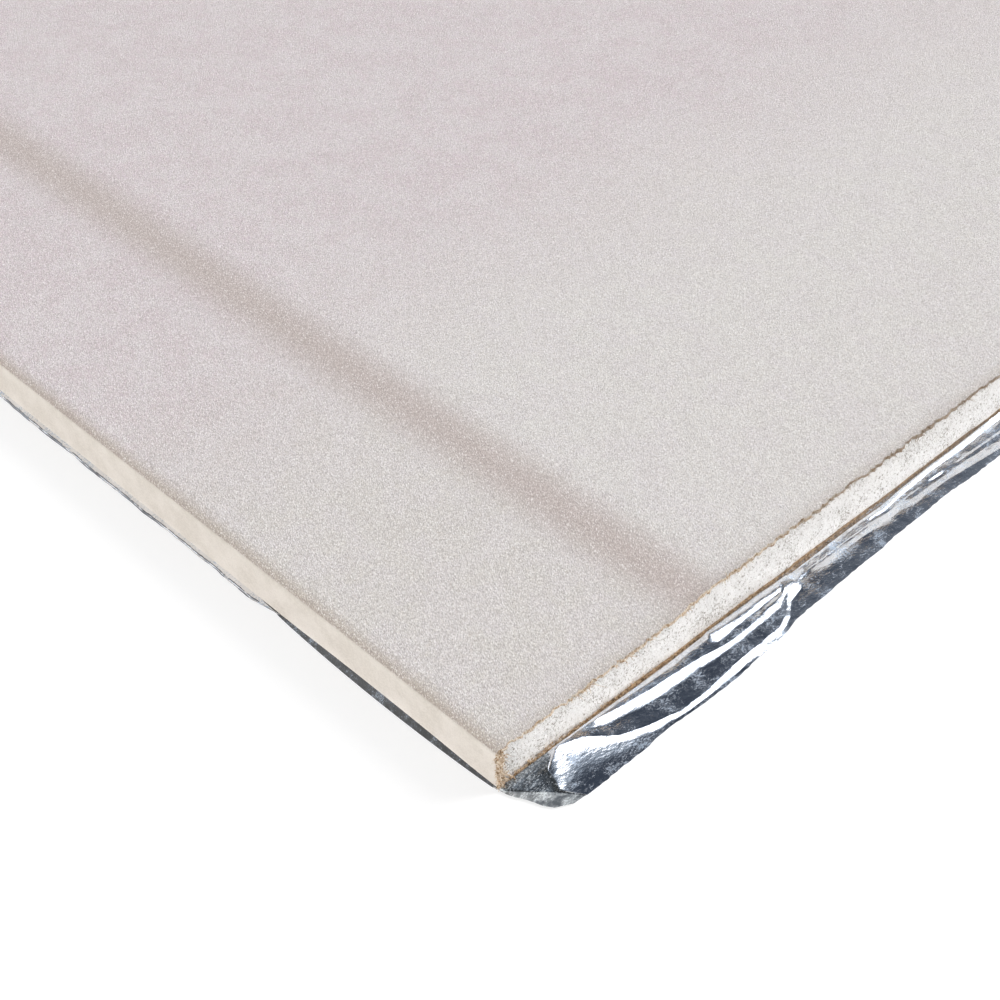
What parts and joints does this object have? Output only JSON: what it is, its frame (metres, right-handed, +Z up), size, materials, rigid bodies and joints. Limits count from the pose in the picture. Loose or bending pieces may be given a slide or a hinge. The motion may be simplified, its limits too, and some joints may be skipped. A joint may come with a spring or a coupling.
{
  "type": "drywall sheet",
  "caption": "Foil-backed drywall sheet: a gypsum core wrapped in face paper with tapered long edges, a brown back paper, and foil that overhangs one sawn end.",
  "frame": {"origin": "middle of the foil's underside, beneath the middle of the board", "axes": "+X along the length, towards the sawn end with the loose foil flap; +Y across the width; +Z up through the thickness, out of the face"},
  "size_m": [2.4135, 1.203, 0.0125],
  "materials": {
    "gypsum": "matt, porous",
    "face_paper": "matt, fibrous",
    "back_paper": "matt, fibrous",
    "foil": "bright, crinkled"
  },
  "bodies": {
    "root": {"gypsum_core": "gypsum", "face_paper": "face_paper", "back_paper": "back_paper", "foil": "foil"}
  },
  "joints": []
}
